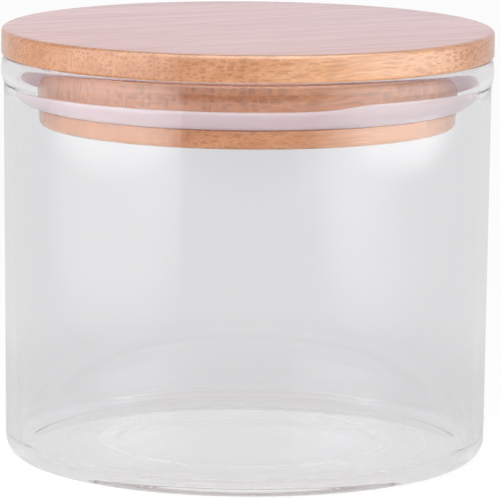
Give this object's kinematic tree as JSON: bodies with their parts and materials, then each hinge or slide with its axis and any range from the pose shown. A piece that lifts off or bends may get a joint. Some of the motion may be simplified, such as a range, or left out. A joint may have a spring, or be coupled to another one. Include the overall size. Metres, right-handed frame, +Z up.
{
  "type": "food storage jar",
  "caption": "Wide round glass food jar with a turned, laminated bamboo push-in lid and a soft silicone seal ring round the lid's plug.",
  "frame": {"origin": "middle of the base, on the plane that the jar stands on", "axes": "+Z up along the jar's axis, -Y towards the viewer of the picture"},
  "size_m": [0.1212, 0.1212, 0.1063],
  "materials": {
    "clear_glass": "clear, fire polished",
    "clear_silicone": "translucent, satin",
    "bamboo": "satin lacquer over sanded bamboo"
  },
  "bodies": {
    "jar": {"glass_jar": "clear_glass"},
    "seal": {"seal_ring": "clear_silicone"},
    "lid": {"lid_top_lath_1": "bamboo", "lid_top_lath_2": "bamboo", "lid_top_lath_3": "bamboo", "lid_top_lath_4": "bamboo", "lid_top_lath_5": "bamboo", "lid_top_lath_6": "bamboo", "plug_upper_lath_1": "bamboo", "plug_upper_lath_2": "bamboo", "plug_upper_lath_3": "bamboo", "plug_upper_lath_4": "bamboo", "plug_upper_lath_5": "bamboo", "plug_middle_lath_1": "bamboo", "plug_middle_lath_2": "bamboo", "plug_middle_lath_3": "bamboo", "plug_middle_lath_4": "bamboo", "plug_middle_lath_5": "bamboo", "plug_middle_lath_6": "bamboo", "plug_lower_lath_1": "bamboo", "plug_lower_lath_2": "bamboo", "plug_lower_lath_3": "bamboo", "plug_lower_lath_4": "bamboo", "plug_lower_lath_5": "bamboo"}
  },
  "joints": [
    {"name": "lid_lift", "type": "slide", "parent": "jar", "child": "seal", "axis": [0, 0, 1], "range_m": [0, 0.12]},
    {"name": "lid_turn", "type": "hinge", "parent": "seal", "child": "lid", "pos_m": [0, 0, 0.09], "axis": [0, 0, 1], "continuous": true}
  ]
}
